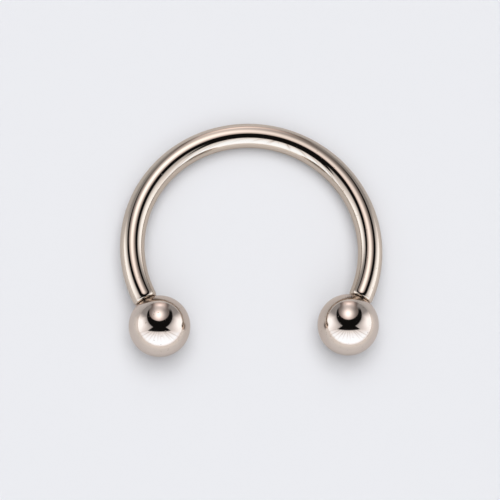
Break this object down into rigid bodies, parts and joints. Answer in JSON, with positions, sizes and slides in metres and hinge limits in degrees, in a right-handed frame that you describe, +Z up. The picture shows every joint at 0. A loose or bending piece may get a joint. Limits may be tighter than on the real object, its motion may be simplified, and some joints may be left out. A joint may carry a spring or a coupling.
{
  "type": "horseshoe barbell",
  "caption": "Open ring of round polished wire, a circular barbell, with a smooth ball screwed onto each end.",
  "frame": {"origin": "on the ground under the middle of the barbell's box, as it lies on its side", "axes": "+X across the mouth from the left ball to the right ball, +Y from the mouth to the crown of the curve, +Z up"},
  "size_m": [0.0172, 0.0158, 0.004],
  "materials": {
    "bar_steel": "mirror-polished surgical steel, warm tone, faint drawing lines along the wire",
    "ball_steel": "mirror-polished surgical steel, warm tone, a few hair scratches"
  },
  "bodies": {
    "bar": {"curved_bar": "bar_steel"},
    "left_ball": {"ball_left": "ball_steel"},
    "right_ball": {"ball_right": "ball_steel"}
  },
  "joints": [
    {"name": "left_ball_unscrew", "type": "slide", "parent": "bar", "child": "left_ball", "axis": [0.4305, -0.8987, 0.0831], "range_m": [0, 0.003]},
    {"name": "right_ball_unscrew", "type": "slide", "parent": "bar", "child": "right_ball", "axis": [-0.4305, -0.8987, 0.0831], "range_m": [0, 0.003]}
  ]
}
